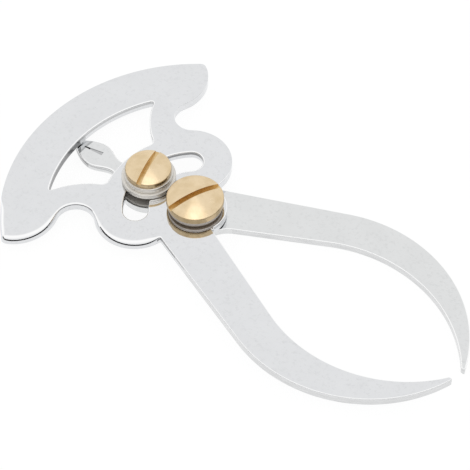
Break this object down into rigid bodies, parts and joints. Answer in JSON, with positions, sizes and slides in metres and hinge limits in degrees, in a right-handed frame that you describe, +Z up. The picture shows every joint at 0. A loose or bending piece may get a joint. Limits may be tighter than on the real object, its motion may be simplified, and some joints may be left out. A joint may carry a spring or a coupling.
{
  "type": "thickness gauge",
  "caption": "Scissors-type thickness gauge: sector scale plate with a bowed fixed jaw, moving jaw with a leaf pointer tail, brass pivot screw, and lock screw in an arc slot.",
  "frame": {"origin": "on the pivot axis, at the moving jaw's underside, which the gauge rests on", "axes": "+X along the scale plate's line of symmetry towards the jaw tips, +Z up along the pivot axis to the screw heads, +Y to the moving jaw's side"},
  "size_m": [0.0764, 0.0454, 0.0062],
  "materials": {
    "chrome_plate": "bright plated sheet with a fine grain",
    "chrome_jaw": "bright plated sheet with a fine grain",
    "brass_screw": "turned, satin",
    "steel_spacer": "rolled, dull",
    "steel_washer": "bright, lightly worn"
  },
  "bodies": {
    "plate": {"scale_plate": "chrome_plate", "pivot_washer": "steel_washer", "pivot_spacer": "steel_spacer"},
    "jaw": {"moving_jaw": "chrome_jaw", "pivot_screw": "brass_screw", "lock_washer_upper": "steel_washer", "lock_washer_lower": "steel_washer", "lock_spacer": "steel_spacer"},
    "lock": {"lock_screw": "brass_screw"}
  },
  "joints": [
    {"name": "jaw_pivot", "type": "hinge", "parent": "plate", "child": "jaw", "pos_m": [0, 0, 0.0022], "axis": [0, 0, 1], "range_deg": [-47.3, 41.9]},
    {"name": "lock_turn", "type": "hinge", "parent": "jaw", "child": "lock", "pos_m": [-0.00889, -0.00042, 0.00063], "axis": [0, 0, 1], "range_deg": [0, 180]}
  ]
}
